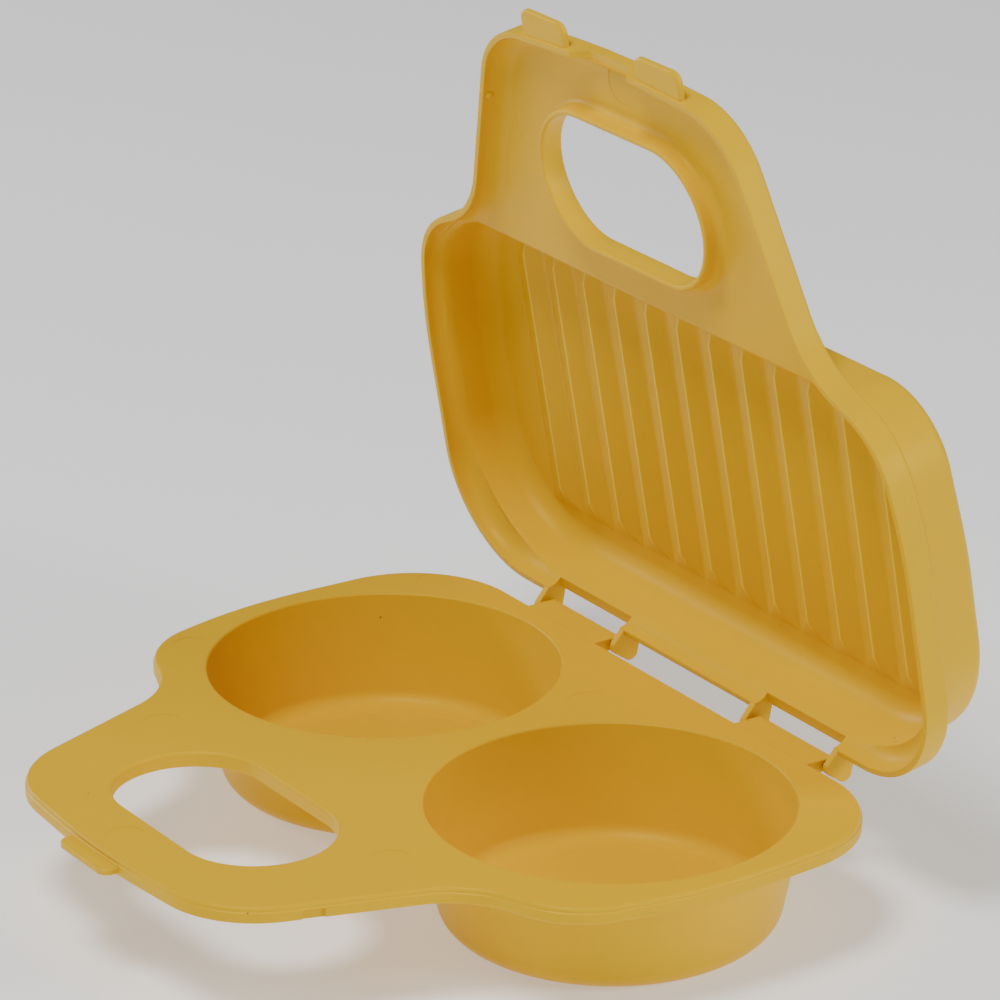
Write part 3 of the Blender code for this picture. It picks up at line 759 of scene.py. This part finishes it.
def yellow_plastic():
    """Satin polypropylene: even yellow, a faint grain, sparse brown specks, and a painted highlight along
    the rib crests.
    """
    material = bpy.data.materials.new("yellow_plastic")
    n = Nodes(material)
    place = n.add("ShaderNodeTexCoord").outputs["Object"]

    cells = n.add("ShaderNodeTexVoronoi", {"Vector": place, "Scale": 160.0, "Randomness": 1.0})
    size = n.add("ShaderNodeMapRange", {
        "Value": n.add("ShaderNodeSeparateColor", {"Color": cells.outputs["Color"]}).outputs["Red"],
        "From Min": 0.78, "From Max": 1.0, "To Min": 0.0, "To Max": 0.05,
    })
    near = {0: cells.outputs["Distance"], 1: size.outputs["Result"]}
    speck = n.add("ShaderNodeMath", near, operation="LESS_THAN")

    cloud = n.add("ShaderNodeTexNoise", {"Vector": place, "Scale": 22.0, "Detail": 3.0, "Roughness": 0.5})
    tint = n.add("ShaderNodeMapRange", {
        "Value": cloud.outputs["Fac"], "From Min": 0.3, "From Max": 0.7, "To Min": 0.0, "To Max": 1.0,
    })
    yellow = n.mix(tint.outputs["Result"], (0.80, 0.475, 0.0, 1.0), (0.82, 0.49, 0.0, 1.0))
    marked = n.mix(speck.outputs["Value"], yellow, (0.38, 0.13, 0.004, 1.0))
    # Painted highlight: the base colour is lightened to pale yellow along the rib crests, standing in for
    # the light the crests catch.
    crest = n.add("ShaderNodeAttribute", attribute_name="painted_crest_highlight")
    lit = n.mix(crest.outputs["Fac"], marked, (1.0, 0.80, 0.03, 1.0))
    n.link(lit, n.shader.inputs["Base Color"])

    haze = n.add("ShaderNodeTexNoise", {"Vector": place, "Scale": 60.0, "Detail": 4.0, "Roughness": 0.55})
    rough = n.add("ShaderNodeMapRange", {
        "Value": haze.outputs["Fac"], "From Min": 0.3, "From Max": 0.7, "To Min": 0.38, "To Max": 0.46,
    })
    n.link(rough.outputs["Result"], n.shader.inputs["Roughness"])

    grain = n.add("ShaderNodeTexNoise", {"Vector": place, "Scale": 1400.0, "Detail": 2.0, "Roughness": 0.5})
    bump = n.add("ShaderNodeBump", {"Height": grain.outputs["Fac"], "Strength": 0.10, "Distance": 0.00008})
    n.link(bump.outputs["Normal"], n.shader.inputs["Normal"])

    n.shader.inputs["IOR"].default_value = 1.38
    n.shader.inputs["Specular IOR Level"].default_value = 0.4
    n.shader.inputs["Specular Tint"].default_value = (1.0, 0.78, 0.25, 1.0)
    return material


def floor_material():
    material = bpy.data.materials.new("pale_floor")
    n = Nodes(material)
    place = n.add("ShaderNodeTexCoord").outputs["Object"]
    cloud = n.add("ShaderNodeTexNoise", {"Vector": place, "Scale": 6.0, "Detail": 2.0})
    shade = n.add("ShaderNodeMapRange", {
        "Value": cloud.outputs["Fac"], "From Min": 0.3, "From Max": 0.7, "To Min": 0.84, "To Max": 0.86,
    })
    n.link(shade.outputs["Result"], n.shader.inputs["Base Color"])
    n.shader.inputs["Roughness"].default_value = 0.7
    n.shader.inputs["Emission Color"].default_value = (1.0, 1.0, 1.0, 1.0)
    n.shader.inputs["Emission Strength"].default_value = 0.4
    return material


# ---- Stage -------------------------------------------------------------------------------
def make_floor():
    bm = bmesh.new()
    bmesh.ops.create_circle(bm, cap_ends=True, segments=96, radius=6.0)
    floor = new_object("floor", bm)
    floor.data.materials.append(floor_material())
    floor.location.z = -FLOOR_GAP


def make_world():
    world = bpy.data.worlds.new("studio")
    bpy.context.scene.world = world
    world.use_nodes = True
    background = world.node_tree.nodes["Background"]
    background.inputs["Color"].default_value = (1.0, 1.0, 1.0, 1.0)
    background.inputs["Strength"].default_value = 0.16


def area_light(name, place, target, size, power, colour=(1.0, 1.0, 1.0)):
    data = bpy.data.lights.new(name, "AREA")
    data.shape = "DISK"
    data.size = size
    data.energy = power
    data.color = colour
    light = bpy.data.objects.new(name, data)
    bpy.context.scene.collection.objects.link(light)
    light.location = place
    light.rotation_mode = "QUATERNION"
    light.rotation_quaternion = (Vector(target) - Vector(place)).to_track_quat("-Z", "Y")


def make_lights():
    area_light("key", (0.15, -0.5, 1.3), (0.0, -0.02, 0.03), 0.5, 13.5)
    area_light("side", (1.1, 0.75, 0.6), (0.0, 0.08, 0.1), 0.5, 8.0)
    area_light("fill", (-1.25, -0.45, 0.4), (0.0, 0.06, 0.08), 0.3, 4.5)


def make_camera():
    azimuth = math.radians(55.465)      # to the right of the front
    elevation = math.radians(22.173)
    data = bpy.data.cameras.new("camera")
    data.sensor_width = 36.0
    data.lens = 197.5
    data.shift_x = -0.0032
    data.clip_end = 50.0
    camera = bpy.data.objects.new("camera", data)
    bpy.context.scene.collection.objects.link(camera)
    back = Vector((
        math.sin(azimuth) * math.cos(elevation),
        -math.cos(azimuth) * math.cos(elevation),
        math.sin(elevation),
    ))
    camera.location = (1.0298, -0.706 + CUP_LINE_Y, 0.5709 + TRAY_HEIGHT)
    camera.rotation_mode = "QUATERNION"
    camera.rotation_quaternion = (-back).to_track_quat("-Z", "Y")
    bpy.context.scene.camera = camera


# ---- Everything --------------------------------------------------------------------------
def finish_piece(piece, body, node, material):
    piece.data.materials.clear()
    piece.data.materials.append(material)
    piece.data.shade_smooth()
    piece.data.set_sharp_from_angle(angle=math.radians(32.0))
    weighted = piece.modifiers.new("weighted_normals", "WEIGHTED_NORMAL")
    weighted.keep_sharp = True
    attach(piece, body)
    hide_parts(node)


def main():
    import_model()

    plastic = yellow_plastic()
    tray = build_tray()
    finish_piece(tray, "tray", "base_tray", plastic)

    lid = build_lid()
    finish_piece(lid, "cover", "lid", plastic)

    make_floor()
    make_world()
    make_lights()
    make_camera()


main()
